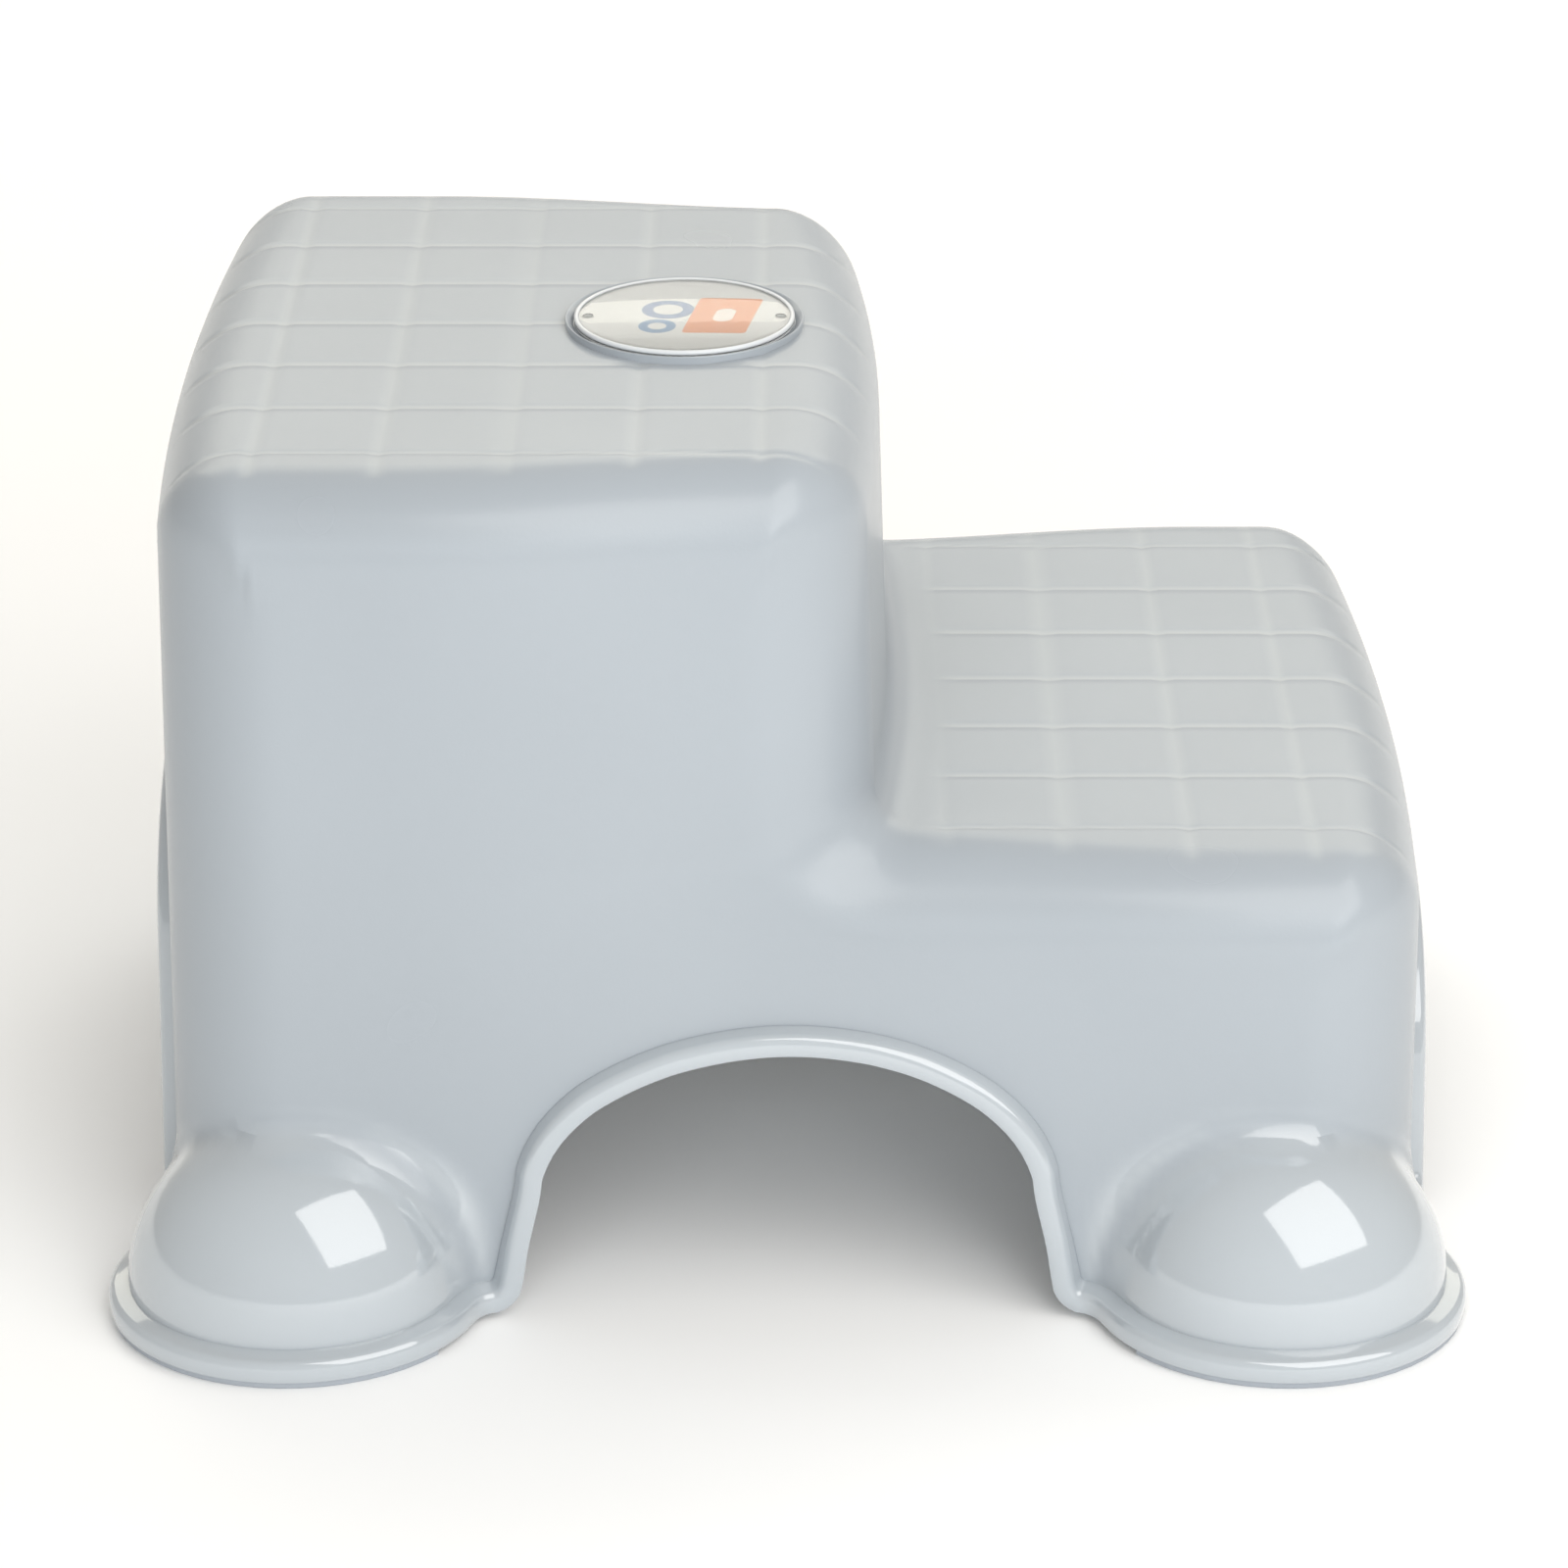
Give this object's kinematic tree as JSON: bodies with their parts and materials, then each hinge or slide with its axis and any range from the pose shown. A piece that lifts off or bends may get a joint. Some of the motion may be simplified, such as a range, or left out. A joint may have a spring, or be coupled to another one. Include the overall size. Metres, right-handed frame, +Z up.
{
  "type": "step stool",
  "caption": "Child's two-step stool: a one-piece moulded shell with arched sides and ends, domed corner feet on non-slip strips, and a round badge under a clear cover on the upper step.",
  "frame": {"origin": "middle of the object's outline at floor level", "axes": "+Z up, +X towards the low step at the front, +Y to the left of someone who stands on the stool and faces the front"},
  "size_m": [0.3996, 0.3866, 0.2596],
  "materials": {
    "body_plastic": "satin treads and walls, glossy feet and lip",
    "pad_rubber": "matte",
    "clear_cover": "clear, glossy",
    "printed_card": "printed"
  },
  "bodies": {
    "root": {"stool_shell": "body_plastic", "foot_pad_front_left": "pad_rubber", "foot_pad_front_right": "pad_rubber", "foot_pad_back_left": "pad_rubber", "foot_pad_back_right": "pad_rubber", "badge_lens": "clear_cover", "badge_card": "printed_card"}
  },
  "joints": []
}
